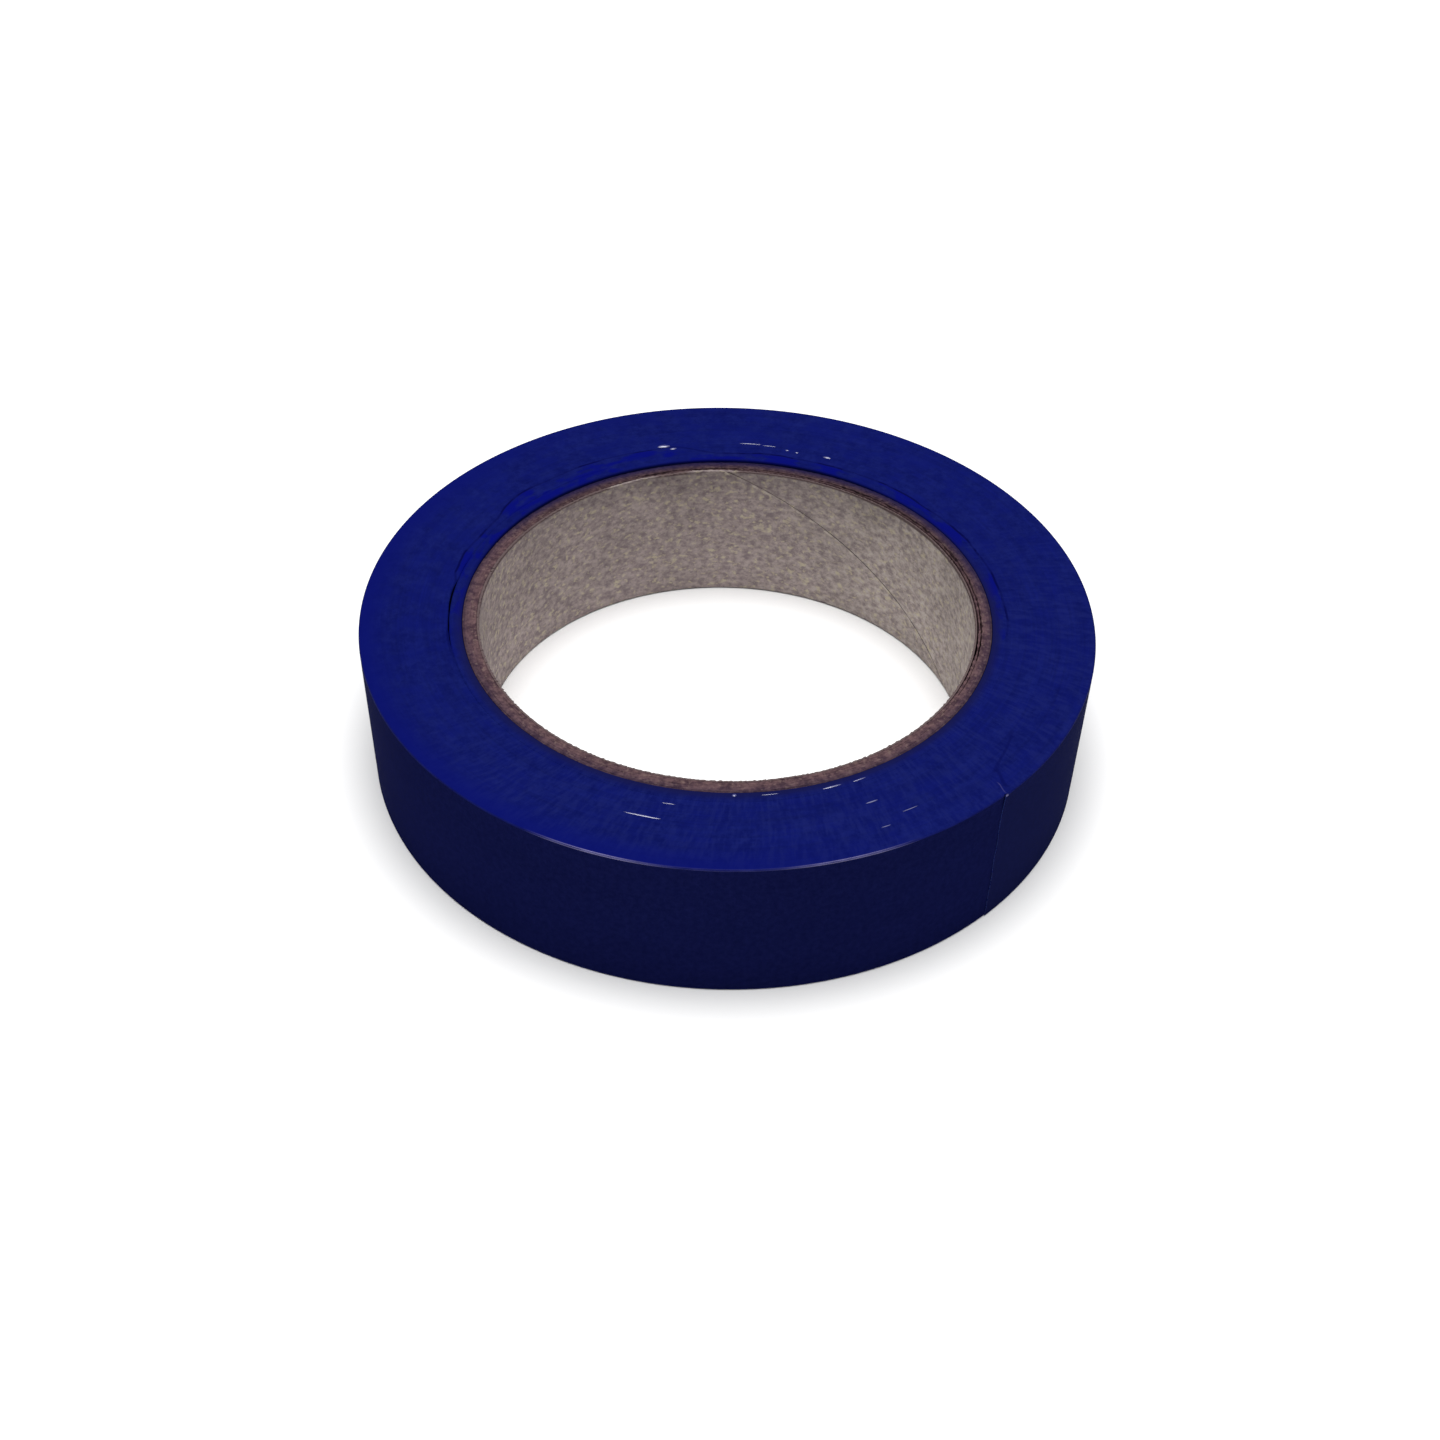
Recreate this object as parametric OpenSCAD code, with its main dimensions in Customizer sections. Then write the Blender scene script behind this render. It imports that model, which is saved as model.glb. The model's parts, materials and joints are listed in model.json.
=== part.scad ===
// A roll of masking tape: a spiral-wound paperboard core that carries one long strip of tape.
// The roll lies on its side. The origin is the centre of the bore at the lower face, and +Z
// runs along the bore. Angles are degrees round +Z from +X. All sizes are millimetres.

/* [Core] */
// Diameter of the bore through the core
core_bore_d = 76.2; // [60:0.1:90]
// Thickness of the grey liner ply that lines the bore
liner_ply_t = 0.38; // [0.2:0.02:0.6]
// Thickness of one brown body ply
body_ply_t = 0.44; // [0.3:0.02:0.6]
// Number of body plies
body_plies = 4; // [2:1:6]
// Thickness of the thin ply round the outside of the core
outer_ply_t = 0.24; // [0.16:0.02:0.5]
// Glue line between two neighbouring layers
glue_t = 0.03; // [0.02:0.01:0.06]

/* [Tape] */
// Width of the tape, which is the height of the roll
tape_w = 25; // [12:1:50]
// Thickness of the tape, backing and adhesive together
tape_t = 0.14; // [0.1:0.01:0.25]
// Turns in the tight band next to the core
inner_turns = 14; // [4:1:20]
// Turns between that band and the last turn
main_turns = 95; // [20:1:140]

/* [Free end] */
// Direction in which the free end's cut edge lies
end_angle = -45; // [-180:1:180]
// Number of lengths that the liftable end is divided into
end_lengths = 6; // [4:1:12]
// Angle round the roll that one such length covers
length_angle = 10; // [5:2.5:15]
// Height at which the end stands off the turn beneath it
end_lift = 0.04; // [0.03:0.01:0.1]
// Cut between two neighbouring lengths
end_cut = 0.04; // [0.02:0.01:0.1]

/* [Hidden] */
// Step between the flat facets that a spiral turn is drawn with
facet_angle = 2.5;
full_turn = 360;
$fn = 180;

core_bore_r = core_bore_d / 2;
body_ply_r = core_bore_r + liner_ply_t + glue_t;
body_ply_step = body_ply_t + glue_t;
outer_ply_r = body_ply_r + body_plies * body_ply_step;
core_r = outer_ply_r + outer_ply_t;

inner_band_r = core_r + glue_t;
main_band_r = inner_band_r + inner_turns * tape_t + glue_t;
roll_r = main_band_r + (main_turns + 1) * tape_t;

end_arc = end_lengths * length_angle;
half_cut_angle = end_cut / 2 / roll_r * full_turn / (2 * PI);

liner_grey = [0.54, 0.50, 0.47];
board_brown = [0.36, 0.28, 0.28];
tape_blue = [0.07, 0.10, 0.42];

// Outer radius of the last turn at back degrees from the free end's cut edge. Following the tape
// from its free end, each full turn winds in by one tape thickness.
function turn_r(back) = roll_r - tape_t * back / full_turn;

// Angles from one place on the turn to another: both ends, and the facet steps between them
function turn_angles(from, to) = concat(
    [from],
    [for (back = [0:facet_angle:full_turn]) if (back > from && back < to) back],
    [to]
);

// The points of a spiral line, shifted outwards from the last turn's outer face
function turn_points(angles, shift) = [
    for (back = angles)
        (turn_r(back) + shift) * [cos(end_angle + back), sin(end_angle + back)]
];

function reversed(list) = [for (i = [len(list) - 1:-1:0]) list[i]];

module ring(inner_r, outer_r, colour) {
    color(colour)
        linear_extrude(tape_w)
            difference() {
                circle(outer_r);
                circle(inner_r);
            }
}

// One thickness of tape that follows the spiral from one angle to another
module tape_length(from, to, shift) {
    angles = turn_angles(from, to);
    color(tape_blue)
        linear_extrude(tape_w)
            polygon(concat(
                turn_points(angles, shift),
                reversed(turn_points(angles, shift - tape_t))
            ));
}

module core_liner_ply() {
    ring(core_bore_r, core_bore_r + liner_ply_t, liner_grey);
}

module core_body_ply(n) {
    inner_r = body_ply_r + (n - 1) * body_ply_step;
    ring(inner_r, inner_r + body_ply_t, board_brown);
}

module core_outer_ply() {
    ring(outer_ply_r, core_r, board_brown);
}

module tape_inner_turns() {
    ring(inner_band_r, main_band_r - glue_t, tape_blue);
}

// The step in its outline, at the free end's cut edge, is where the last turn comes off it
module tape_main_turns() {
    color(tape_blue)
        linear_extrude(tape_w)
            difference() {
                polygon(turn_points(turn_angles(0, full_turn), -tape_t));
                circle(main_band_r);
            }
}

// The last turn that stays stuck down
module tape_last_turn() {
    tape_length(end_arc + half_cut_angle, full_turn, 0);
}

// The liftable end: length 1 is the one that is hinged on the last turn
module tape_end(n) {
    far_edge = (end_lengths - n + 1) * length_angle - half_cut_angle;
    near_edge = n == end_lengths ? 0 : far_edge - length_angle + 2 * half_cut_angle;
    tape_length(near_edge, far_edge, end_lift);
}

core_liner_ply();
for (n = [1:body_plies])
    core_body_ply(n);
core_outer_ply();
tape_inner_turns();
tape_main_turns();
tape_last_turn();
for (n = [1:end_lengths])
    tape_end(n);
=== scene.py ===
"""A roll of masking tape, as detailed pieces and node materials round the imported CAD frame.

The roll lies on its side with its bore along +Z. Azimuths are degrees round +Z from +X, and "back"
is how many degrees a place lies behind the free end's cut edge, following the tape into the roll.
Lengths are metres, written as a number of MM.
"""
import json
import math

import bpy
import numpy as np
from mathutils import Matrix, Vector


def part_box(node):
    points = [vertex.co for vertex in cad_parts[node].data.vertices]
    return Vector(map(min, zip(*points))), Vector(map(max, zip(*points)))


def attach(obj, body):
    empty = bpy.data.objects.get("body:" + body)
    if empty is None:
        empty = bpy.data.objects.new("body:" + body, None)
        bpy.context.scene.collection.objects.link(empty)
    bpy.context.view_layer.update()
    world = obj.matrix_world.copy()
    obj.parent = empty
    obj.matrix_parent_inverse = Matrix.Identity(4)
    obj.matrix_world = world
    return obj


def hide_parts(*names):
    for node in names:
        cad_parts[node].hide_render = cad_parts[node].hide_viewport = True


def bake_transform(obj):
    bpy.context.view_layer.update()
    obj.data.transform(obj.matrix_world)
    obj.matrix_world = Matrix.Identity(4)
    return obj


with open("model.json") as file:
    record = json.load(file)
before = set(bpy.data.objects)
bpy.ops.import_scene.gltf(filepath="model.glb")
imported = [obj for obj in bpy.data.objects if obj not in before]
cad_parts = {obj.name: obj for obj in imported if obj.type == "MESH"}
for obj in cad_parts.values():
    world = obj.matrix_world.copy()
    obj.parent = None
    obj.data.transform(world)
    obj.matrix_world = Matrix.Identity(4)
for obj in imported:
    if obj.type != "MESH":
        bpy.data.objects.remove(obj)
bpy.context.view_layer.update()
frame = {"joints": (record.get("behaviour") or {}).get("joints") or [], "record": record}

MM = 0.001
MM_PER_M = 1000.0
TAU = 2 * math.pi

# ---------------------------------------------------------------- sizes from the frame

mounts = {m["name"]: m for m in frame["record"]["mounts"]}
joints = {j["name"]: j for j in frame["joints"]}
BORE_R = mounts["core_bore"]["dims"]["r_mm"] * MM
WIDTH = mounts["core_bore"]["dims"]["length_mm"] * MM

TAPE_T = 0.14 * MM
END_LIFT = 0.04 * MM
GLUE = 0.03 * MM
BODY_PLIES = [f"core_body_ply_{n}" for n in range(1, 5)]
HINGES = sorted(joints)
END_PIECES = len(HINGES)


def outer_radius(node):
    """Largest distance of a round CAD node from the roll's axis."""
    low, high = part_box(node)
    return max(high.x, high.y, -low.x, -low.y)


def hinge_azimuth(number):
    x, y, _ = joints[f"peel_{number}"]["pos_m"]
    return math.degrees(math.atan2(y, x))


LENGTH_ANGLE = round(hinge_azimuth(1) - hinge_azimuth(2), 1)
END_AZIMUTH = round(hinge_azimuth(END_PIECES) - LENGTH_ANGLE, 1)
END_ARC = END_PIECES * LENGTH_ANGLE
CORE_R = outer_radius("core_outer_ply")
BAND_IN_R = CORE_R + GLUE
BAND_OUT_R = outer_radius("tape_inner_turns")
MAIN_IN_R = BAND_OUT_R + GLUE
ROLL_R = math.hypot(*joints[HINGES[-1]]["pos_m"][:2]) - END_LIFT + TAPE_T * LENGTH_ANGLE / 360

# ---------------------------------------------------------------- what the wear looks like

FACE_IN = 0.05 * MM  # how far the turns' cut edges lie inside the full width of the roll
SHOULDER = 0.3 * MM  # radius of the worn edge between the flat side of the roll and its outside
LEAN_LOW = -0.53 * MM  # how far in the outside lies at the lower face, where the turns are tight
LEAN_HIGH = 0.37 * MM  # and how far out it lies at the upper face, where they are slacker
LINE_OFF = 0.2 * MM  # how far outside the tight first turns the line lies along which they slid
BULGE = 2.4 * MM  # how much further out that line lies at the back
LEDGE = 0.85 * MM  # and how much on the left of that
SEAM_AZIMUTH = 19.6  # where the liner's butted seam starts, at the lower face
SEAM_TURN = 2.92  # degrees that the seam turns for each millimetre of height
SEAM_U = 0.5  # where the seam lies on the liner's uv map


def smoothstep(x, low, high):
    t = np.clip((np.asarray(x, float) - low) / (high - low), 0, 1)
    return t * t * (3 - 2 * t)


def between(azimuth, start, full_from, full_to, end):
    """1 between two azimuths, fading to 0 at start and end. The four lie in rising order."""
    shifted = (np.asarray(azimuth, float) - start) % 360 + start
    return smoothstep(shifted, start, full_from) * (1 - smoothstep(shifted, full_to, end))


def waves(azimuth, lowest, highest, seed):
    """Smooth noise round the roll with that many cycles in a turn, and a mean square of 1."""
    rng = np.random.default_rng(seed)
    cycles = np.arange(lowest, highest + 1)
    sizes = rng.normal(size=cycles.size)
    starts = rng.uniform(0, TAU, cycles.size)
    total = np.cos(np.radians(azimuth)[..., None] * cycles + starts) @ sizes
    return total / math.sqrt((sizes**2).sum() / 2)


def crushed_right(azimuth):
    """How far the core's upper edge is crushed on the right, from 0 to 1."""
    return between(azimuth, -45, -5, 55, 95)


def crushed(azimuth):
    """How far the core's first two plies are crushed and parted at the upper edge, from 0 to 1."""
    torn = 0.8 * between(azimuth, 84, 91, 108, 115)
    return np.maximum(crushed_right(azimuth), torn)


def recess(azimuth):
    """How far the core's upper edge lies below the tape's, most of all at the back."""
    return 0.16 * MM + 0.34 * MM * between(azimuth, 35, 75, 140, 185)


def winding_line(azimuth):
    """Radius of the line where the tight first turns and the main turns have slid on each other."""
    bulge = BULGE * between(azimuth, 92, 105, 134, 155)
    ledge = LEDGE * between(azimuth, 108, 116, 166, 172)
    return MAIN_IN_R + LINE_OFF + np.maximum(bulge, ledge)


def gap_width(azimuth):
    """The crescent gap between the tight first turns and the main turns."""
    uneven = np.clip(1 + 0.35 * waves(azimuth, 8, 60, 9), 0.2, 1.6)
    return 0.2 * MM * between(azimuth, 160, 175, 187, 195) * uneven


def turn_radius(back):
    """Outer radius of the last turn."""
    return ROLL_R - TAPE_T * np.asarray(back, float) / 360


def leaning(radius, height):
    """The radius at some height of a turn that has the given radius where it stands upright. The
    first turns stand upright, and each turn further out leans a little more."""
    share = np.clip((radius - MAIN_IN_R) / (ROLL_R - MAIN_IN_R), 0, 1)
    return radius + share * (LEAN_LOW + (LEAN_HIGH - LEAN_LOW) * height / WIDTH)


# ---------------------------------------------------------------- meshes


def ring_points(azimuth, radius, height):
    """Points from arrays of azimuth in degrees, radius and height that broadcast together."""
    azimuth, radius, height = np.broadcast_arrays(np.radians(azimuth), radius, height)
    return np.stack([radius * np.cos(azimuth), radius * np.sin(azimuth), height], axis=-1)


def mesh_piece(name, points, faces, uv, slots, materials, sharp_angle=38):
    """A mesh object. uv has a pair of millimetres for each face corner, slots one for each face."""
    mesh = bpy.data.meshes.new(name)
    mesh.from_pydata(points.reshape(-1, 3).tolist(), [], faces)
    layer = mesh.uv_layers.new(name="tape")
    layer.data.foreach_set("uv", np.asarray(uv, np.float32).ravel())
    mesh.polygons.foreach_set("material_index", np.asarray(slots, np.int32))
    mesh.polygons.foreach_set("use_smooth", np.ones(len(faces), bool))
    mesh.set_sharp_from_angle(angle=math.radians(sharp_angle))
    for material in materials:
        mesh.materials.append(material)
    piece = bpy.data.objects.new(name, mesh)
    bpy.context.scene.collection.objects.link(piece)
    return piece


def section_grid(points, u, v, row_slots, closed_round):
    """Faces, corner uvs and material slots of a grid of points, columns round the roll by rows
    round its section. The section is always closed; u has one value more than there are columns
    if the grid is closed round the roll, and v one more than there are rows. row_slots has the
    slot of the faces between each row and the next."""
    columns, rows = points.shape[:2]
    last = columns if closed_round else columns - 1
    i = np.repeat(np.arange(last), rows)
    j = np.tile(np.arange(rows), last)
    i_next, j_next = (i + 1) % columns, (j + 1) % rows
    here, onwards = i * rows, i_next * rows
    faces = np.stack([here + j, onwards + j, onwards + j_next, here + j_next], 1)
    u_corner = np.stack([u[i], u[i + 1], u[i + 1], u[i]], 1)
    v_corner = np.stack([v[j], v[j], v[j + 1], v[j + 1]], 1)
    uv = np.stack([u_corner, v_corner], -1).reshape(-1, 2)
    return faces.tolist(), uv, np.asarray(row_slots)[j]


def closed_ring(name, azimuth, radius, height, row_slots, materials):
    """A ring from radius and height arrays, columns by rows, whose section runs up the outside,
    in over the top, down the inside and out underneath."""
    points = ring_points(azimuth, radius, height)
    steps = np.linalg.norm(np.diff(points[0], axis=0, append=points[0][:1]), axis=1)
    v = np.concatenate([[0], np.cumsum(steps)]) / MM
    u = np.linspace(0, TAU * radius.mean() / MM, points.shape[0] + 1)
    return mesh_piece(name, points, *section_grid(points, u, v, row_slots, True), materials)


# ---------------------------------------------------------------- node materials


class Shader:
    """A node material. Each method adds a node and returns the socket with its result."""

    def __init__(self, name, roughness, specular, ior=1.45):
        self.material = bpy.data.materials.new(name)
        self.material.use_nodes = True
        self.tree = self.material.node_tree
        self.surface = self.tree.nodes["Principled BSDF"]
        self.surface.inputs["Roughness"].default_value = roughness
        self.surface.inputs["Specular IOR Level"].default_value = specular
        self.surface.inputs["IOR"].default_value = ior

    def put(self, value, socket):
        if isinstance(value, bpy.types.NodeSocket):
            self.tree.links.new(value, socket)
        else:
            socket.default_value = value

    def node(self, kind, inputs, output=0, **settings):
        node = self.tree.nodes.new(kind)
        for key, value in settings.items():
            setattr(node, key, value)
        for key, value in inputs.items():
            self.put(value, node.inputs[key])
        return node.outputs[output]

    def math(self, operation, a, b=0.0):
        return self.node("ShaderNodeMath", {0: a, 1: b}, operation=operation)

    def product(self, first, *others):
        for other in others:
            first = self.math("MULTIPLY", first, other)
        return first

    def rest(self, share):
        """What is left of one when a share is taken away."""
        return self.math("SUBTRACT", 1.0, share)

    def vector(self, operation, a, b=(0.0, 0.0, 0.0)):
        output = 1 if operation in ("LENGTH", "DOT_PRODUCT") else 0
        return self.node("ShaderNodeVectorMath", {0: a, 1: b}, output, operation=operation)

    def scaled(self, vector, scale):
        return self.node("ShaderNodeVectorMath", {0: vector, "Scale": scale}, operation="SCALE")

    def xyz(self, x=0.0, y=0.0, z=0.0):
        return self.node("ShaderNodeCombineXYZ", {0: x, 1: y, 2: z})

    def place(self):
        """The point in millimetres, in the roll's frame, for pieces that never move."""
        coordinates = self.tree.nodes.new("ShaderNodeTexCoord")
        return self.scaled(coordinates.outputs["Object"], MM_PER_M)

    def tape_place(self):
        """The point on the tape in millimetres: along it from the free end, and across it."""
        return self.node("ShaderNodeUVMap", {}, uv_map="tape")

    def part(self, vector, axis):
        return self.node("ShaderNodeSeparateXYZ", {0: vector}, axis)

    def noise(self, vector, scale, detail=2.0, roughness=0.5):
        """Noise from 0 to 1 with about that many features in a millimetre."""
        inputs = {"Vector": vector, "Scale": scale, "Detail": detail, "Roughness": roughness}
        return self.node("ShaderNodeTexNoise", inputs)

    def ramp(self, value, low, high, out_low=0.0, out_high=1.0):
        """A smooth change from out_low at low to out_high at high."""
        inputs = {"Value": value, "From Min": low, "From Max": high}
        inputs |= {"To Min": out_low, "To Max": out_high}
        return self.node("ShaderNodeMapRange", inputs, interpolation_type="SMOOTHSTEP")

    def mix(self, share, a, b):
        """Colour a where share is 0 and colour b where it is 1."""
        node = self.tree.nodes.new("ShaderNodeMix")
        node.data_type = "RGBA"
        for socket, value in ((0, share), (6, a), (7, b)):
            self.put(value, node.inputs[socket])
        return node.outputs[2]

    def brighten(self, colour, factor):
        return self.node("ShaderNodeHueSaturation", {"Color": colour, "Value": factor})

    def polar(self, vector):
        """The radius of a point, and its direction from the axis."""
        flat = self.vector("MULTIPLY", vector, (1.0, 1.0, 0.0))
        return self.vector("LENGTH", flat), self.vector("NORMALIZE", flat)

    def turned(self, vector, angle, invert=False):
        """The vector turned about the roll's axis by an angle in radians, or back by it."""
        inputs = {"Vector": vector, "Angle": angle}
        return self.node("ShaderNodeVectorRotate", inputs, invert=invert, rotation_type="Z_AXIS")

    def facing(self, direction, azimuth, low, high):
        """1 on the side of the roll that faces an azimuth, and 0 on the far side."""
        a = math.radians(azimuth)
        turned = self.vector("DOT_PRODUCT", direction, (math.cos(a), math.sin(a), 0.0))
        return self.ramp(turned, low, high)

    def ring_noise(self, radius, direction, around, across, detail=2.0, roughness=0.5):
        """Noise with so many features in a millimetre round the roll and out from its axis."""
        round_the_roll = self.scaled(direction, around * ROLL_R / MM)
        outwards = self.xyz(z=self.math("MULTIPLY", radius, across))
        vector = self.vector("ADD", round_the_roll, outwards)
        return self.noise(vector, 1.0, detail, roughness)

    def finish(self, colour, height=None, relief=0.0, roughness=None):
        """Joins the colour, the relief in metres and a varying roughness to the shader."""
        self.put(colour, self.surface.inputs["Base Color"])
        if roughness is not None:
            self.put(roughness, self.surface.inputs["Roughness"])
        if height is not None:
            bump = {"Strength": 1.0, "Distance": relief, "Height": height}
            self.put(self.node("ShaderNodeBump", bump), self.surface.inputs["Normal"])
        return self.material


def rgb(red, green, blue):
    return (red, green, blue, 1.0)


TOP_DARK = rgb(0.0024, 0.0045, 0.065)
TOP_LIGHT = rgb(0.0050, 0.0087, 0.088)
TOP_PURE = rgb(0.0028, 0.0053, 0.086)
TOP_PALE = rgb(0.0066, 0.0104, 0.087)
TOP_DEEP = rgb(0.0025, 0.0047, 0.067)
TOP_RIM = rgb(0.0021, 0.0040, 0.091)
TOP_FIRST = rgb(0.0016, 0.0031, 0.106)
TOP_LINE_SHADE = rgb(0.0012, 0.0019, 0.042)
TOP_SHADE = rgb(0.0016, 0.0026, 0.050)
TOP_GREYER = rgb(0.0058, 0.0066, 0.044)
TOP_GLINT = rgb(0.040, 0.040, 0.14)
SHEEN = rgb(0.68, 0.63, 1.0)
# inner and outer radius, azimuth at each, half width, strength and colour of each mark: painted
# shade along a crease, and a painted glint on a wrinkle
CREASE_MARKS = [
    (49.2, 52.2, -32.5, -41.6, 1.1, 0.5, TOP_SHADE),
    (52.0, 55.4, -41.6, -43.4, 0.5, 0.6, TOP_SHADE),
    (53.9, 56.1, -43.7, -44.5, 0.12, 0.6, TOP_GLINT),
]


def cut_edges_material():
    """The flat side of the winding: the cut edges of about a hundred turns of blue tape."""
    s = Shader("tape_cut_edges", roughness=0.6, specular=0.0025, ior=1.8)
    s.surface.inputs["Specular Tint"].default_value = SHEEN
    place = s.place()
    radius, direction = s.polar(place)

    # fine streaks that the slitting knife left, which lean a little off the radius
    lean = s.math("MULTIPLY", s.math("SUBTRACT", radius, 49.0), 0.003)
    leaning_direction = s.turned(direction, lean)
    streaks = s.ring_noise(radius, leaning_direction, 1.2, 0.3, detail=3.0, roughness=0.65)
    streaked = s.facing(direction, -62, -0.3, 0.5)
    turns = s.ring_noise(radius, direction, 0.03, 2.2, detail=3.0, roughness=0.7)
    groups = s.ring_noise(radius, direction, 0.03, 0.5, detail=2.0)
    blotches = s.noise(place, 0.5, detail=6.0, roughness=0.8)
    tint = s.noise(s.vector("ADD", place, (13.0, 41.0, 0.0)), 0.3, detail=4.0, roughness=0.6)

    colour = s.mix(s.ramp(blotches, 0.34, 0.66), TOP_DARK, TOP_LIGHT)
    colour = s.mix(s.ramp(tint, 0.4, 0.66, 0.0, 0.7), colour, TOP_PURE)
    streak_share = s.math("MULTIPLY", s.ramp(streaks, 0.46, 0.64), streaked)
    colour = s.mix(s.math("MULTIPLY", streak_share, 0.55), colour, TOP_PALE)
    dark_share = s.math("MULTIPLY", s.ramp(streaks, 0.5, 0.34), streaked)
    colour = s.mix(s.math("MULTIPLY", dark_share, 0.4), colour, TOP_DEEP)
    colour = s.brighten(colour, s.ramp(turns, 0.25, 0.75, 0.92, 1.08))
    colour = s.brighten(colour, s.ramp(groups, 0.3, 0.7, 0.96, 1.04))

    # the outermost turns are burnished to a purer blue, most of all on the left
    rim = s.ramp(radius, 51.0, 56.0)
    rim = s.math("MULTIPLY", rim, s.facing(direction, -155, -0.2, 0.6))
    colour = s.mix(s.math("MULTIPLY", rim, 0.8), colour, TOP_RIM)

    # the tight first turns are too, inside the line where they slid past the main turns
    at_back = s.facing(direction, 118, 0.8, 0.95)
    bulge = s.product(at_back, s.facing(direction, 160, 0.38, 0.57), BULGE / MM)
    ledge = s.math("MULTIPLY", s.facing(direction, 142, 0.866, 0.899), LEDGE / MM)
    line = s.math("ADD", s.math("MAXIMUM", bulge, ledge), (MAIN_IN_R + LINE_OFF) / MM)
    wander = s.ring_noise(radius, direction, 0.1, 0.0, detail=2.0)
    line = s.math("ADD", line, s.math("MULTIPLY", s.math("SUBTRACT", wander, 0.5), 1.2))
    past_line = s.math("SUBTRACT", radius, line)
    slid = s.facing(direction, 92, -0.45, 0.1)
    first = s.math("MULTIPLY", s.ramp(past_line, 0.1, -0.25), slid)
    patches = s.ramp(s.ring_noise(radius, direction, 0.16, 0.5, detail=3.0), 0.46, 0.62)
    colour = s.mix(s.math("MULTIPLY", first, patches), colour, TOP_FIRST)
    # a dark line is painted along the line where they slid: painted shade of the shallow groove
    # there
    near_line = s.ramp(s.math("ABSOLUTE", s.math("ADD", past_line, -0.05)), 0.3, 0.05)
    shade = s.product(near_line, slid, s.ramp(patches, 0.0, 0.5, 0.45, 1.0))
    colour = s.mix(shade, colour, TOP_LINE_SHADE)
    # the turns beside the core are painted darker, as painted shade, and in front they are greyer
    beside_core = s.ramp(radius, CORE_R / MM + 0.8, CORE_R / MM, 0.0, 0.7)
    colour = s.mix(beside_core, colour, TOP_SHADE)
    near_core = s.ramp(radius, CORE_R / MM + 2.0, CORE_R / MM + 0.2)
    greyer_front = s.product(near_core, s.facing(direction, -80, -0.5, 0.2), 0.85)
    colour = s.mix(greyer_front, colour, TOP_GREYER)

    # painted shade along a curved crease that runs in from the free end, and a whitish painted
    # glint on a wrinkle beside it
    crease_noise = s.noise(place, 0.9, detail=3.0)
    for radius_from, radius_to, azimuth_from, azimuth_to, width, share, tone in CREASE_MARKS:
        share_out = s.ramp(radius, radius_from, radius_to)
        turn = math.radians(azimuth_to - azimuth_from)
        middle = s.math("ADD", s.math("MULTIPLY", share_out, turn), math.radians(azimuth_from))
        across = s.turned(place, middle, invert=True)
        off = s.math("ABSOLUTE", s.part(across, 1))
        off = s.math("ADD", off, s.math("MULTIPLY", s.math("SUBTRACT", crease_noise, 0.5), width))
        starts = s.ramp(radius, radius_from - 0.3, radius_from + 0.3)
        ends = s.ramp(radius, radius_to + 0.3, radius_to - 0.3)
        beside = s.ramp(off, width, width * 0.2, 0.0, share)
        this_side = s.math("GREATER_THAN", s.part(across, 0), 0.0)
        colour = s.mix(s.product(starts, ends, beside, this_side), colour, tone)

    # the last few turns are polished on both sides of the front, where the roll has been handled
    dull = s.math("MULTIPLY", s.facing(direction, -90, 0.957, 0.992), 0.9)
    front = s.facing(direction, -90, 0.866, 0.945)
    polish = s.product(s.ramp(radius, 56.0, 56.2), front, s.rest(dull))
    shine = s.math("ADD", s.math("MULTIPLY", polish, 0.95), 0.0025)
    s.put(shine, s.surface.inputs["Specular IOR Level"])
    rough = s.math("SUBTRACT", s.ramp(turns, 0.3, 0.7, 0.5, 0.7), s.math("MULTIPLY", polish, 0.22))

    relief = s.math("ADD", s.math("MULTIPLY", turns, 0.6), s.math("MULTIPLY", streaks, 0.4))
    return s.finish(colour, relief, 0.02 * MM, rough)


def backing_material():
    """The outside of the tape: matt paper with a fine crepe."""
    s = Shader("tape_backing", roughness=0.6, specular=0.0008)
    place = s.tape_place()
    crepe = s.noise(s.vector("MULTIPLY", place, (1.0, 0.3, 0.0)), 1.1, detail=4.0, roughness=0.6)
    mottle = s.noise(place, 1.1, detail=5.0, roughness=0.8)
    clouds = s.noise(s.vector("MULTIPLY", place, (0.4, 1.0, 0.0)), 0.12, detail=2.0)
    dark, light = rgb(0.0034, 0.0048, 0.039), rgb(0.0056, 0.0074, 0.050)
    colour = s.mix(s.ramp(mottle, 0.33, 0.67), dark, light)
    colour = s.brighten(colour, s.ramp(crepe, 0.3, 0.7, 0.95, 1.05))
    colour = s.brighten(colour, s.ramp(clouds, 0.3, 0.7, 0.96, 1.04))
    # the free end is painted a little paler, as a painted sheen where it lies less flat on the roll
    colour = s.mix(s.ramp(s.part(place, 0), 62.0, 25.0, 0.0, 0.2), colour, rgb(0.011, 0.014, 0.050))
    relief = s.math("ADD", s.math("MULTIPLY", crepe, 0.7), s.math("MULTIPLY", mottle, 0.3))
    return s.finish(colour, relief, 0.025 * MM, s.ramp(mottle, 0.3, 0.7, 0.5, 0.68))


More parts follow.
